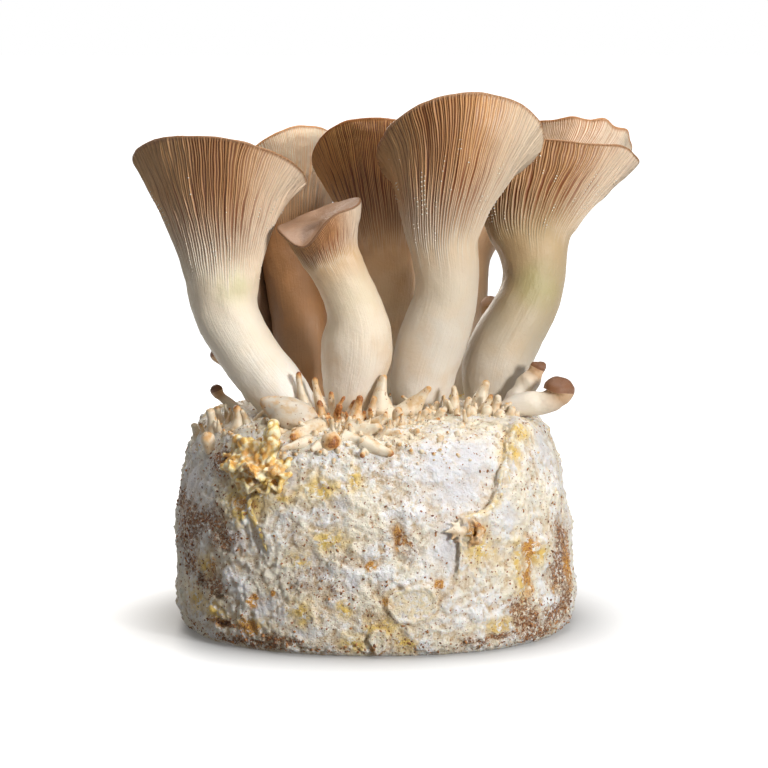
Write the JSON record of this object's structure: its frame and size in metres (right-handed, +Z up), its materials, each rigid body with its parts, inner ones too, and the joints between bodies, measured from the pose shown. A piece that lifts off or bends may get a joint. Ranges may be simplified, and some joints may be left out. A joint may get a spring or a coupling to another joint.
{
  "type": "oyster mushroom grow kit",
  "caption": "Round block of mycelium-grown substrate with a flush of trumpet-shaped king oyster mushrooms, young mushrooms and pins growing from its top; stands on its flat base.",
  "frame": {"origin": "centre of the block's flat underside", "axes": "+Z up, -Y towards the front that the picture shows, +X to its right"},
  "size_m": [0.2292, 0.2003, 0.2393],
  "materials": {
    "mycelium_block": "matt white to cream mycelium skin over damp sawdust, with brown specks, yellow and orange crust and browner lower sides",
    "mushroom_flesh": "satin ivory flesh, smooth stems with fine lengthwise fibres, tan to brown gills running down from the rim, greyish tan cap tops",
    "young_mushroom_flesh": "satin cream flesh with brown to grey-brown small caps and orange-brown tips"
  },
  "bodies": {
    "root": {"substrate_block": "mycelium_block", "mushroom_left": "mushroom_flesh", "mushroom_centre": "mushroom_flesh", "mushroom_right": "mushroom_flesh", "mushroom_front_small": "mushroom_flesh", "mushroom_back_middle": "mushroom_flesh", "mushroom_back_left": "mushroom_flesh", "mushroom_back_right": "mushroom_flesh", "mushroom_far_left": "mushroom_flesh", "side_mushroom": "young_mushroom_flesh", "young_mushroom_right": "young_mushroom_flesh", "young_mushroom_back": "young_mushroom_flesh", "young_mushroom_left": "young_mushroom_flesh", "young_mushroom_far_left": "young_mushroom_flesh", "bud_front_left": "young_mushroom_flesh"}
  },
  "joints": []
}
